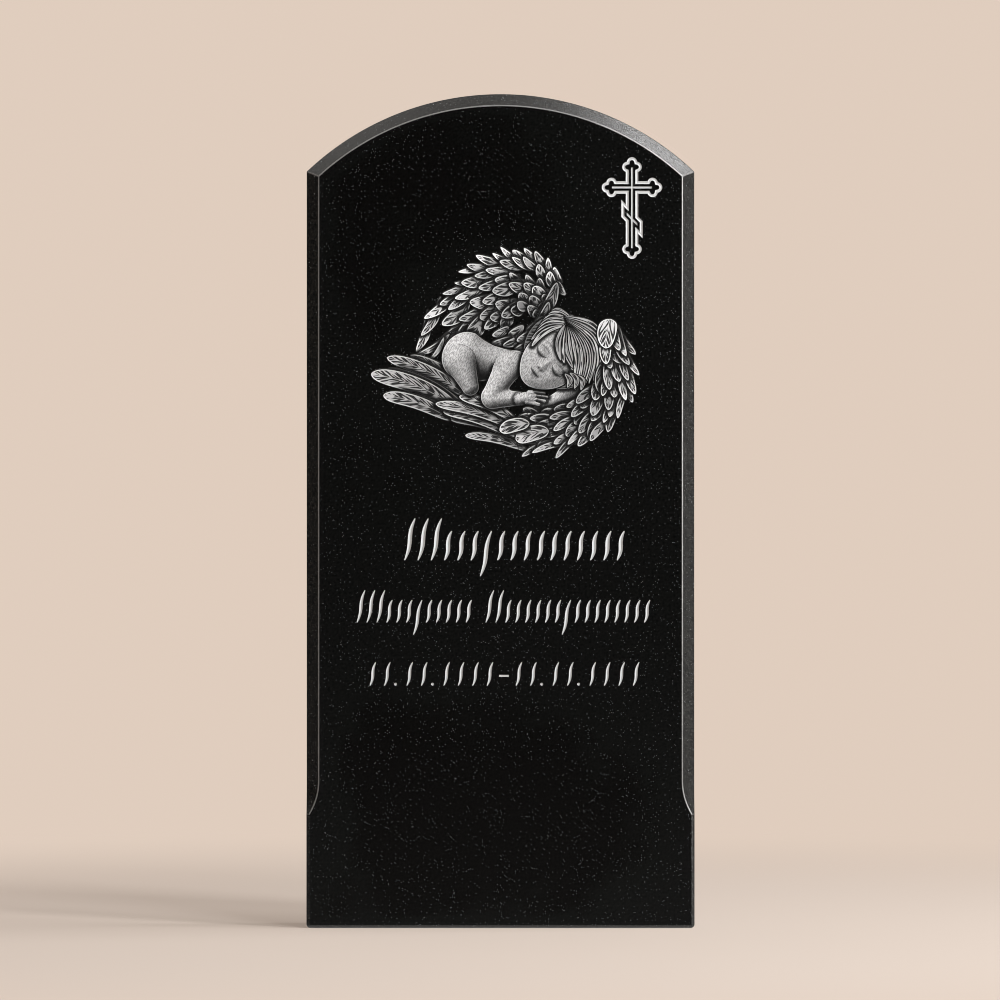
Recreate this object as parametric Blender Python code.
"""Upright headstone of black granite, one slab with an arched head.

The face's edge is chamfered round the head and down both sides, and the chamfer is stopped above the foot.
A sleeping child between two wings, a budded cross with a slanted footbar and three rows of plain strokes
are cut into the face.

Run it with blender --background --python part.py, or from Blender's text editor. It works in metres, with +Z
up, the face towards -Y and the origin at the middle of the underside.
"""

import math

import bmesh
import bpy
from mathutils import Vector

# The slab
WIDTH = 0.400
HEIGHT = 0.860
THICKNESS = 0.080
HEAD_RISE = 0.080  # from the shoulders up to the crown of the arch
HEAD_STEPS = 40

# Its edges: each leg is measured along the face and equally along the side
CHAMFER_LEG = 0.0125
ARRIS_LEG = 0.0025  # the small bevel round the foot of the face and all round the back
FACE_CORNER_RADIUS = 0.0015  # the foot's two corners, where the flat of the face ends
CORNER_STEPS = 4
CHAMFER_STOP_HEIGHT = 0.117  # where the chamfer has run out into the arris
GRINDING_WHEEL_RADIUS = 0.086  # it leaves the chamfer's curved ends
CHAMFER_STOP_STEPS = 9

# The cutting of the face
CUTTER_CLEARANCE = 0.002  # how far the cutters stand out of the face
GROOVE_DEPTH_SHARE = 0.32  # a stroke's depth for each unit of its width
GRANITE_BLACK = (0.006, 0.006, 0.007, 1.0)
GRANITE_ROUGHNESS = 0.08

# The picture. Its layout is in shares of its width, from its middle
PICTURE_DROP = 0.267  # from the crown down to its middle
PICTURE_SHIFT = 0.0036  # to the right of the slab's middle
PICTURE_WIDTH = 0.277
PICTURE_HEIGHT_SHARE = 0.772
PICTURE_CUT_DEPTH = 0.0006
FEATHER_STEPS = 6
FEATHER_END_SHARE = 0.12  # a feather's width at its two ends
FEATHER_BOW_SHARE = 0.10
LONG_FEATHER_BOW_SHARE = 0.07
SWELLING_POWER = 0.7  # below 1, a stroke or feather keeps its width nearer to its ends
LIMB_END_STEPS = 6

# The back wing is a fan of feathers about its root, and its reach grows round the fan
BACK_WING_ROOT = (0.116, 0.106)
BACK_WING_FIRST_ANGLE = math.radians(62)
BACK_WING_LAST_ANGLE = math.radians(196)
BACK_WING_SHORT_REACH = 0.195
BACK_WING_LONG_REACH = 0.465
BACK_FEATHER_LEAN = math.radians(48)  # from the fan's spoke round to the feather

# The front wing is a crescent under the child, along this line from its shoulder
FRONT_WING_LINE = [
    (0.373, 0.118), (0.437, 0.013), (0.444, -0.106), (0.388, -0.218), (0.284, -0.293), (0.153, -0.323),
    (0.041, -0.308),
]

# The child's hair is a few locks that curve round the head, the innermost first
HEAD_MIDDLE = (0.194, -0.013)
HAIR_LOCKS = 4
HAIR_LOCK_WIDTH = 0.0165
HAIR_LOCK_PITCH = 0.021
HAIR_INNER_RADIUS = 0.097
HAIR_FIRST_ANGLE = math.radians(82)
HAIR_LAST_ANGLE = math.radians(-18)
HAIR_ROOT_SHIFT = math.radians(4)  # each lock starts that much further round than the one inside it
HAIR_TIP_SHIFT = math.radians(2)

# The inscription's three rows, from the top
PICTURE_TO_FIRST_ROW = 0.064
FIRST_TO_SECOND_ROW = 0.0147  # clear height between the hanging strokes and the next row
SECOND_TO_THIRD_ROW = 0.0285
FIRST_ROW_LEFT_MARGIN = 0.0867
FIRST_ROW_RIGHT_MARGIN = 0.0578
SECOND_ROW_LEFT_MARGIN = 0.0381
SECOND_ROW_RIGHT_MARGIN = 0.0319
THIRD_ROW_LEFT_MARGIN = 0.0516
THIRD_ROW_RIGHT_MARGIN = 0.0433
FIRST_TALL_STROKE = 0.043
SECOND_TALL_STROKE = 0.033
THIRD_TALL_STROKE = 0.024
FIRST_PEN_WIDTH = 0.0042
SECOND_PEN_WIDTH = 0.0032
THIRD_PEN_WIDTH = 0.0029
STROKE_SLANT = math.radians(14)
SHORT_STROKE_SHARE = 0.70  # of a tall stroke's height
HANGING_SHARE = 0.38  # how far a hanging stroke goes below its row
DASH_HEIGHT_SHARE = 0.42
DASH_REACH_SHARE = 1 / 3  # to each side, in the room that a mark has
DASH_HALF_WIDTH_SHARE = 1 / 3
DOT_ROOM_SHARE = 0.55  # of the room that a stroke takes along the row
STROKE_BEND_SHARE = 0.30  # how far a stroke bends to each side, in its width
STROKE_END_SHARE = 0.22  # a stroke's width at its ends, of the pen's
STROKE_STEPS = 5
DOT_SIDES = 8

# The cross. Its proportions are shares of its height, from the point where its two beams meet
CROSS_HEIGHT = 0.104
CROSS_DROP = 0.097  # from the crown down to the crossbeam's middle
CROSS_MARGIN = 0.052  # from the upright's middle to the edge of the face
CROSS_CUT_DEPTH = 0.0008
CROSS_ARM_SHARE = 0.248  # out to the middle of an arm's end bud
CROSS_FOOT_SHARE = 0.656  # down to the middle of the lowest bud
CROSS_HALF_BEAM_SHARE = 0.0615
CROSS_BAND_SHARE = 0.028  # width of the groove round the cross
BUD_RADIUS_TO_BEAM = 0.83
BUD_SPREAD_TO_BEAM = 0.73
BUD_STEPS = 10
FOOTBAR_DROP_SHARE = 0.3135
FOOTBAR_REACH_SHARE = 0.105
FOOTBAR_HALF_DEPTH_SHARE = 0.0846
CROSS_HALF_LINE_SHARE = 0.0096  # the fine lines along the beams' middles
CROSS_LINE_REACH_SHARE = 0.197
CROSS_LINE_FOOT_SHARE = 0.601
FOOTBAR_LINE_REACH_SHARE = 0.052


def face_y():
    """The plane of the slab's polished face."""
    return -THICKNESS / 2


def face_half_width():
    """From the slab's middle to where the side chamfers begin."""
    return WIDTH / 2 - CHAMFER_LEG


def head_radius():
    """The radius of the arch, from its rise and the slab's width."""
    half = WIDTH / 2
    return (half**2 + HEAD_RISE**2) / (2 * HEAD_RISE)


def chamfer_run_out():
    """How deep the wheel cuts below the arris, and the height over which its round ends the cut."""
    depth = (CHAMFER_LEG - ARRIS_LEG) / math.sqrt(2)
    return depth, math.sqrt(depth * (2 * GRINDING_WHEEL_RADIUS - depth))


def side_stations():
    """The heights on a side at which the chamfer changes, from its stop up, with its leg at each."""
    depth, run = chamfer_run_out()
    stations = []
    for i in range(CHAMFER_STOP_STEPS + 1):
        below_full = run * (1 - i / CHAMFER_STOP_STEPS)
        lift = GRINDING_WHEEL_RADIUS - math.sqrt(GRINDING_WHEEL_RADIUS**2 - below_full**2)
        stations.append((CHAMFER_STOP_HEIGHT + run - below_full, CHAMFER_LEG - math.sqrt(2) * lift))
    return stations


def half_outline(has_chamfer):
    """The right half of the slab's outline from the foot to the crown, as (x, z, leg) at its outer edge,
    and the matching (x, z) where the flat begins. The chamfered one is the face's, the other the back's."""
    half = WIDTH / 2
    radius = head_radius()
    centre_z = HEIGHT - radius
    head_leg = CHAMFER_LEG if has_chamfer else ARRIS_LEG
    corner_radius = FACE_CORNER_RADIUS + ARRIS_LEG
    corner = (half - corner_radius, corner_radius)
    outer, inner = [], []

    for i in range(CORNER_STEPS + 1):
        turn = math.pi / 2 * i / CORNER_STEPS
        across, down = math.sin(turn), math.cos(turn)
        outer.append((corner[0] + corner_radius * across, corner[1] - corner_radius * down, ARRIS_LEG))
        inner.append((corner[0] + FACE_CORNER_RADIUS * across, corner[1] - FACE_CORNER_RADIUS * down))

    for z, chamfer_leg in side_stations():
        leg = chamfer_leg if has_chamfer else ARRIS_LEG
        outer.append((half, z, leg))
        inner.append((half - leg, z))

    inner_radius = radius - head_leg
    outer_turn = math.asin(half / radius)
    inner_turn = math.asin((half - head_leg) / inner_radius)
    for i in range(HEAD_STEPS // 2 + 1):
        share = 1 - i / (HEAD_STEPS // 2)
        a, b = outer_turn * share, inner_turn * share
        outer.append((radius * math.sin(a), centre_z + radius * math.cos(a), head_leg))
        inner.append((inner_radius * math.sin(b), centre_z + inner_radius * math.cos(b)))
    return outer, inner


def whole_ring(bm, right_half, y_of):
    """A closed ring of vertices from the points of the right half and their mirror images."""
    ring = [bm.verts.new((p[0], y_of(p), p[1])) for p in right_half]
    ring += [bm.verts.new((-p[0], y_of(p), p[1])) for p in reversed(right_half[:-1])]
    return ring


def join_rings(bm, first, second):
    """One band of faces between two rings of as many vertices."""
    for i, vertex in enumerate(first):
        after = (i + 1) % len(first)
        bm.faces.new((vertex, first[after], second[after], second[i]))


def build_slab():
    """The uncut slab: face, chamfer, sides, back arris and back."""
    bm = bmesh.new()
    outer, inner = half_outline(has_chamfer=True)
    back_outer, back_inner = half_outline(has_chamfer=False)
    face = whole_ring(bm, inner, lambda p: face_y())
    front_edge = whole_ring(bm, outer, lambda p: face_y() + p[2])
    back_edge = whole_ring(bm, back_outer, lambda p: THICKNESS / 2 - p[2])
    back = whole_ring(bm, back_inner, lambda p: THICKNESS / 2)
    for first, second in ((face, front_edge), (front_edge, back_edge), (back_edge, back)):
        join_rings(bm, first, second)
    bm.faces.new(face)
    bm.faces.new(back)
    return bm


def add_groove(bm, spine, half_widths, depth_share):
    """A V-groove's cutter along a spine of (x, z) points, whose two lower faces meet under the spine."""
    rings = []
    for i, (point, half_width) in enumerate(zip(spine, half_widths)):
        before = spine[max(i - 1, 0)]
        after = spine[min(i + 1, len(spine) - 1)]
        along = (Vector(after) - Vector(before)).normalized()
        side = Vector((along.y, -along.x)) * half_width
        depth = 2 * half_width * depth_share
        middle = Vector(point)
        section = (
            (middle - side, -CUTTER_CLEARANCE),
            (middle - side, 0),
            (middle, depth),
            (middle + side, 0),
            (middle + side, -CUTTER_CLEARANCE),
        )
        rings.append([bm.verts.new((p.x, face_y() + inward, p.y)) for p, inward in section])
    for first, second in zip(rings, rings[1:]):
        join_rings(bm, first, second)
    bm.faces.new(rings[0])
    bm.faces.new(rings[-1])


def add_prism(bm, outline, depth, holes=()):
    """A flat-bottomed cutter with this outline of (x, z) points, and the outlines of what stands in it."""
    edges = []
    for loop in (outline, *holes):
        ring = [bm.verts.new((x, face_y() - CUTTER_CLEARANCE, z)) for x, z in loop]
        edges += [bm.edges.new((v, ring[(i + 1) % len(ring)])) for i, v in enumerate(ring)]
    filled = bmesh.ops.triangle_fill(bm, edges=edges, use_beauty=True, normal=(0, -1, 0))
    faces = [item for item in filled["geom"] if isinstance(item, bmesh.types.BMFace)]
    grown = bmesh.ops.extrude_face_region(bm, geom=faces, use_keep_orig=True)
    moved = [item for item in grown["geom"] if isinstance(item, bmesh.types.BMVert)]
    bmesh.ops.translate(bm, vec=(0, CUTTER_CLEARANCE + depth, 0), verts=moved)


def arc(centre, radius, start, end, steps):
    """Points along an arc, from one angle to the other, in radians."""
    turns = [start + (end - start) * i / steps for i in range(steps + 1)]
    return [(centre[0] + radius * math.cos(a), centre[1] + radius * math.sin(a)) for a in turns]


def on_face(points, place, scale):
    """Points in shares of a figure's size, set at its place on the face."""
    return [(place[0] + x * scale, place[1] + z * scale) for x, z in points]


def swelling(t, end_share):
    """How wide a stroke or feather is along its length, as a share of its full width."""
    return end_share + (1 - end_share) * math.sin(math.pi * t) ** SWELLING_POWER


def picture_place():
    """The middle of the picture."""
    return PICTURE_SHIFT, HEIGHT - PICTURE_DROP


def add_feather(bm, root, tip, width, bow):
    """One feather of the picture: a shallow leaf-shaped groove from root to tip, bowed to its left."""
    along = Vector(tip) - Vector(root)
    left = Vector((-along.y, along.x))
    shares = [i / FEATHER_STEPS for i in range(FEATHER_STEPS + 1)]
    spine = [Vector(root) + along * t + left * bow * math.sin(math.pi * t) for t in shares]
    half_widths = [width * PICTURE_WIDTH / 2 * swelling(t, FEATHER_END_SHARE) for t in shares]
    depth_share = PICTURE_CUT_DEPTH / (width * PICTURE_WIDTH)
    add_groove(bm, on_face(spine, picture_place(), PICTURE_WIDTH), half_widths, depth_share)


def add_back_wing(bm):
    """The raised wing behind the child, in rows from its outermost feathers inwards."""
    # How far out a row's tips are, its feathers, their length and its share that is width, and the row's
    # first and last place round the fan
    rows = (
        (1.00, 9, 0.27, 0.25, 0.00, 1.00),
        (0.78, 7, 0.22, 0.34, 0.03, 0.97),
        (0.56, 5, 0.21, 0.35, 0.05, 0.95),
        (0.34, 3, 0.18, 0.36, 0.10, 0.95),
    )
    for tip_share, count, length_share, width_share, first, last in rows:
        for i in range(count):
            share = first + (last - first) * (i + 0.5) / count
            angle = BACK_WING_FIRST_ANGLE + (BACK_WING_LAST_ANGLE - BACK_WING_FIRST_ANGLE) * share
            reach = BACK_WING_SHORT_REACH + (BACK_WING_LONG_REACH - BACK_WING_SHORT_REACH) * share
            spoke = Vector((math.cos(angle), math.sin(angle)))
            heading = Vector((math.cos(angle + BACK_FEATHER_LEAN), math.sin(angle + BACK_FEATHER_LEAN)))
            tip = Vector(BACK_WING_ROOT) + spoke * tip_share * reach
            length = length_share * reach
            add_feather(bm, tip - heading * length, tip, width_share * length, FEATHER_BOW_SHARE)


def along_line(points, share):
    """The point and the heading at a share of a smooth line through these points."""
    spans = len(points) - 1
    i = min(int(share * spans), spans - 1)
    u = share * spans - i
    before, start = Vector(points[max(i - 1, 0)]), Vector(points[i])
    end, after = Vector(points[i + 1]), Vector(points[min(i + 2, spans)])
    bend = 2 * before - 5 * start + 4 * end - after
    twist = 3 * start - before - 3 * end + after
    point = (2 * start + (end - before) * u + bend * u**2 + twist * u**3) / 2
    return point, ((end - before) + 2 * bend * u + 3 * twist * u**2).normalized()


def add_front_wing(bm):
    """The wing that the child lies on: short feathers along the crescent, and long ones that sweep left."""
    # How far a row stands from the line, its feathers, their length and its share that is width, how they
    # lean from the line, and the row's first and last place along it
    rows = (
        (0.048, 8, 0.085, 0.34, math.radians(12), 0.06, 0.95),
        (0.000, 7, 0.090, 0.34, math.radians(3), 0.02, 0.97),
        (-0.045, 5, 0.085, 0.36, math.radians(-6), 0.25, 0.95),
    )
    for offset, count, length, width_share, lean, first, last in rows:
        for i in range(count):
            point, heading = along_line(FRONT_WING_LINE, first + (last - first) * (i + 0.5) / count)
            middle = point + Vector((-heading.y, heading.x)) * offset
            half = Vector(
                (heading.x * math.cos(lean) - heading.y * math.sin(lean),
                 heading.x * math.sin(lean) + heading.y * math.cos(lean))
            ) * length / 2
            add_feather(bm, middle - half, middle + half, width_share * length, -FEATHER_BOW_SHARE)
    # Root, tip and width of each long feather
    long_feathers = (
        ((-0.185, -0.165), (-0.433, -0.017), 0.034),
        ((-0.220, -0.197), (-0.493, -0.084), 0.037),
        ((-0.261, -0.250), (-0.440, -0.166), 0.032),
        ((-0.004, -0.272), (-0.136, -0.192), 0.018),
        ((0.005, -0.303), (-0.228, -0.205), 0.028),
        ((-0.018, -0.332), (-0.216, -0.252), 0.022),
        ((0.028, -0.375), (-0.142, -0.334), 0.022),
    )
    for root, tip, width in long_feathers:
        add_feather(bm, root, tip, width, -LONG_FEATHER_BOW_SHARE)


def add_limb(bm, start, end, start_radius, end_radius):
    """A limb of the child: a shallow flat cut with two round ends, one wider than the other."""
    heading = math.atan2(end[1] - start[1], end[0] - start[0])
    outline = arc(start, start_radius, heading + math.pi / 2, heading + 3 * math.pi / 2, LIMB_END_STEPS)
    outline += arc(end, end_radius, heading - math.pi / 2, heading + math.pi / 2, LIMB_END_STEPS)
    add_prism(bm, on_face(outline, picture_place(), PICTURE_WIDTH), PICTURE_CUT_DEPTH)


def add_child(bm):
    """The sleeping child: body, leg, arms and head, with locks of hair that fall from the crown."""
    # Where each limb starts and ends, with its radius at both
    limbs = (
        ((-0.153, 0.009), (0.015, -0.009), 0.063, 0.045),
        ((-0.183, -0.099), (-0.119, -0.144), 0.030, 0.024),
        ((0.007, -0.095), (-0.041, -0.155), 0.032, 0.028),
        ((-0.019, -0.207), (0.082, -0.181), 0.021, 0.019),
        ((0.123, -0.174), (0.153, -0.162), 0.015, 0.011),
        ((0.183, -0.177), (0.265, -0.147), 0.015, 0.021),
        ((0.164, -0.044), (0.172, -0.050), 0.080, 0.078),
    )
    for limb in limbs:
        add_limb(bm, *limb)

    for lock in range(HAIR_LOCKS):
        radius = HAIR_INNER_RADIUS + HAIR_LOCK_PITCH * lock
        first = HAIR_FIRST_ANGLE - HAIR_ROOT_SHIFT * lock
        last = HAIR_LAST_ANGLE - HAIR_TIP_SHIFT * lock
        steps = FEATHER_STEPS + 2
        spine = arc(HEAD_MIDDLE, radius, first, last, steps)
        swellings = [swelling(i / steps, FEATHER_END_SHARE) for i in range(steps + 1)]
        half_widths = [HAIR_LOCK_WIDTH * PICTURE_WIDTH / 2 * share for share in swellings]
        depth_share = PICTURE_CUT_DEPTH / (HAIR_LOCK_WIDTH * PICTURE_WIDTH)
        add_groove(bm, on_face(spine, picture_place(), PICTURE_WIDTH), half_widths, depth_share)


def build_picture():
    """The sleeping child between two wings."""
    bm = bmesh.new()
    add_back_wing(bm)
    add_front_wing(bm)
    add_child(bm)
    return bm


def add_stroke(bm, foot, height, pen_width):
    """A slanted stroke that swells in its middle and bends a little."""
    lean = math.tan(STROKE_SLANT)
    shares = [i / STROKE_STEPS for i in range(STROKE_STEPS + 1)]
    bends = [STROKE_BEND_SHARE * pen_width * math.sin(2 * math.pi * t) for t in shares]
    spine = [(foot[0] + height * t * lean + bend, foot[1] + height * t) for t, bend in zip(shares, bends)]
    half_widths = [pen_width / 2 * swelling(t, STROKE_END_SHARE) for t in shares]
    add_groove(bm, spine, half_widths, GROOVE_DEPTH_SHARE)


def add_row(bm, marks, baseline, left_margin, right_margin, tall, pen_width):
    """One row of marks between its two margins: T is a tall stroke, s a short one, d a short one that also
    hangs below the row, o a dot and - a dash. A space leaves a stroke's room free."""
    lean = math.tan(STROKE_SLANT)
    short = SHORT_STROKE_SHARE * tall
    ends = {"T": (0, tall), "s": (0, short), "d": (-HANGING_SHARE * tall, short)}
    rooms = [DOT_ROOM_SHARE if mark == "o" else 1 for mark in marks]
    left = -face_half_width() + left_margin + pen_width / 2
    right = face_half_width() - right_margin - pen_width / 2 - ends[marks[-1]][1] * lean
    pitch = (right - left) / (sum(rooms) - (rooms[0] + rooms[-1]) / 2)
    x = left - rooms[0] / 2 * pitch
    for mark, room in zip(marks, rooms):
        x += room / 2 * pitch
        if mark == "o":
            dot = arc((x, baseline + pen_width / 2), pen_width / 2, 0, 2 * math.pi, DOT_SIDES)[1:]
            add_prism(bm, dot, pen_width * GROOVE_DEPTH_SHARE)
        elif mark == "-":
            z = baseline + DASH_HEIGHT_SHARE * tall
            middle = x + (z - baseline) * lean
            reach = DASH_REACH_SHARE * pitch
            ends_x = (middle - reach, middle, middle + reach)
            half_widths = [DASH_HALF_WIDTH_SHARE * pen_width] * len(ends_x)
            add_groove(bm, [(end_x, z) for end_x in ends_x], half_widths, GROOVE_DEPTH_SHARE)
        elif mark != " ":
            low, high = ends[mark]
            add_stroke(bm, (x + low * lean, baseline + low), high - low, pen_width)
        x += room / 2 * pitch


def build_inscription():
    """The three rows of strokes that stand in the inscription's place."""
    picture_foot = HEIGHT - PICTURE_DROP - PICTURE_WIDTH * PICTURE_HEIGHT_SHARE / 2
    first = picture_foot - PICTURE_TO_FIRST_ROW - FIRST_TALL_STROKE
    second = first - HANGING_SHARE * FIRST_TALL_STROKE - FIRST_TO_SECOND_ROW - SECOND_TALL_STROKE
    third = second - HANGING_SHARE * SECOND_TALL_STROKE - SECOND_TO_THIRD_ROW - THIRD_TALL_STROKE
    bm = bmesh.new()
    add_row(
        bm, "TTTsssdssssssssss", first, FIRST_ROW_LEFT_MARGIN, FIRST_ROW_RIGHT_MARGIN,
        FIRST_TALL_STROKE, FIRST_PEN_WIDTH
    )
    add_row(
        bm, "TTTsssdsssss TTssssssdssssssss", second, SECOND_ROW_LEFT_MARGIN, SECOND_ROW_RIGHT_MARGIN,
        SECOND_TALL_STROKE, SECOND_PEN_WIDTH
    )
    add_row(
        bm, "TToTToTTTT-TToTToTTTT", third, THIRD_ROW_LEFT_MARGIN, THIRD_ROW_RIGHT_MARGIN,
        THIRD_TALL_STROKE, THIRD_PEN_WIDTH
    )
    return bm


def cross_place():
    """Where the cross's beams meet on the face."""
    return face_half_width() - CROSS_MARGIN, HEIGHT - CROSS_DROP


def turned(points, degrees):
    """Points turned about the crossing of the beams."""
    a = math.radians(degrees)
    return [(x * math.cos(a) - z * math.sin(a), x * math.sin(a) + z * math.cos(a)) for x, z in points]


def budded_end(reach):
    """One beam's end, pointing along +X, as one line from its lower to its upper side: a side bud, the end
    bud and the other side bud."""
    beam = CROSS_HALF_BEAM_SHARE
    radius = BUD_RADIUS_TO_BEAM * beam
    spread = BUD_SPREAD_TO_BEAM * beam
    eighth = math.pi / 4
    # Where a side bud meets the beam's edge, and where it meets the end bud
    to_edge = math.asin((spread - beam) / radius)
    to_next_bud = math.acos(spread * math.sqrt(2) / 2 / radius)
    side_middle = (reach - spread, -spread)
    lower = arc(side_middle, radius, math.pi - to_edge, 2 * math.pi + eighth - to_next_bud, BUD_STEPS)
    front_turn = math.pi - eighth - to_next_bud
    front = arc((reach, 0.0), radius, -front_turn, front_turn, BUD_STEPS)
    upper = [(x, -z) for x, z in reversed(lower)]
    return lower[:-1] + front + upper[1:]


def cross_outline():
    """The cross's outline, from the right arm anticlockwise."""
    beam = CROSS_HALF_BEAM_SHARE
    reach = FOOTBAR_REACH_SHARE
    corner = [(beam, beam)]
    # The footbar slants down to the right at 45 degrees, and its ends are upright
    left_side = [
        (-beam, -FOOTBAR_DROP_SHARE + beam + FOOTBAR_HALF_DEPTH_SHARE),
        (-reach, -FOOTBAR_DROP_SHARE + reach + FOOTBAR_HALF_DEPTH_SHARE),
        (-reach, -FOOTBAR_DROP_SHARE + reach - FOOTBAR_HALF_DEPTH_SHARE),
        (-beam, -FOOTBAR_DROP_SHARE + beam - FOOTBAR_HALF_DEPTH_SHARE),
    ]
    right_side = [(-x, -2 * FOOTBAR_DROP_SHARE - z) for x, z in left_side]
    arm = budded_end(CROSS_ARM_SHARE)
    foot = budded_end(CROSS_FOOT_SHARE)
    return (
        arm + corner + turned(arm, 90) + turned(corner, 90) + turned(arm, 180) + turned(corner, 180)
        + left_side + turned(foot, 270) + right_side + turned(corner, 270)
    )


def drawn_in(outline, distance):
    """An anticlockwise outline moved inwards, square to its own edges."""
    moved = []
    for i, point in enumerate(outline):
        here = Vector(point)
        arriving = (here - Vector(outline[i - 1])).normalized()
        leaving = (Vector(outline[(i + 1) % len(outline)]) - here).normalized()
        first_normal = Vector((-arriving.y, arriving.x))
        second_normal = Vector((-leaving.y, leaving.x))
        between = first_normal + second_normal
        moved.append(here + between * distance / (1 + first_normal.dot(second_normal)))
    return moved


def build_cross_band():
    """The groove round the cross, as one ring."""
    bm = bmesh.new()
    outside = on_face(cross_outline(), cross_place(), CROSS_HEIGHT)
    inside = on_face(drawn_in(cross_outline(), CROSS_BAND_SHARE), cross_place(), CROSS_HEIGHT)
    add_prism(bm, outside, CROSS_CUT_DEPTH, holes=[inside])
    return bm


def build_cross_lines():
    """The fine lines along the beams' middles: the upright with the crossbeam and the footbar across it."""
    bm = bmesh.new()
    w = CROSS_HALF_LINE_SHARE
    bar = FOOTBAR_LINE_REACH_SHARE
    reach = CROSS_LINE_REACH_SHARE
    drop = FOOTBAR_DROP_SHARE
    diagonal = w * math.sqrt(2)
    right_half = [
        (w, -CROSS_LINE_FOOT_SHARE),
        (w, -drop - w - diagonal),
        (bar, -drop - bar - diagonal),
        (bar, -drop - bar + diagonal),
        (w, -drop - w + diagonal),
        (w, -w),
        (reach, -w),
        (reach, w),
        (w, w),
        (w, reach),
    ]
    left_half = [
        (-w, reach),
        (-w, w),
        (-reach, w),
        (-reach, -w),
        (-w, -w),
        (-w, -drop + w + diagonal),
        (-bar, -drop + bar + diagonal),
        (-bar, -drop + bar - diagonal),
        (-w, -drop + w - diagonal),
        (-w, -CROSS_LINE_FOOT_SHARE),
    ]
    add_prism(bm, on_face(right_half + left_half, cross_place(), CROSS_HEIGHT), CROSS_CUT_DEPTH)
    return bm


def granite():
    """Polished black granite."""
    material = bpy.data.materials.new("polished black granite")
    material.use_nodes = True
    shader = material.node_tree.nodes["Principled BSDF"]
    shader.inputs["Base Color"].default_value = GRANITE_BLACK
    shader.inputs["Roughness"].default_value = GRANITE_ROUGHNESS
    shader.inputs["Metallic"].default_value = 0.0
    return material


def object_of(name, bm):
    """A bmesh as an object in the scene."""
    bmesh.ops.recalc_face_normals(bm, faces=bm.faces)
    mesh = bpy.data.meshes.new(name)
    bm.to_mesh(mesh)
    bm.free()
    made = bpy.data.objects.new(name, mesh)
    bpy.context.scene.collection.objects.link(made)
    return made


def cut(stone, name, bm):
    """Cuts a bmesh's shape out of the stone, and leaves it hidden as the guide of that cut."""
    cutter = object_of(name, bm)
    cutter.hide_render = True
    cutter.display_type = "WIRE"
    boolean = stone.modifiers.new(name, "BOOLEAN")
    boolean.operation = "DIFFERENCE"
    boolean.object = cutter


def main():
    for old in list(bpy.data.objects):
        bpy.data.objects.remove(old)
    stone = object_of("headstone", build_slab())
    stone.data.materials.append(granite())
    cut(stone, "inscription_cut", build_inscription())
    cut(stone, "cross_band_cut", build_cross_band())
    cut(stone, "cross_line_cut", build_cross_lines())
    cut(stone, "picture_cut", build_picture())


main()
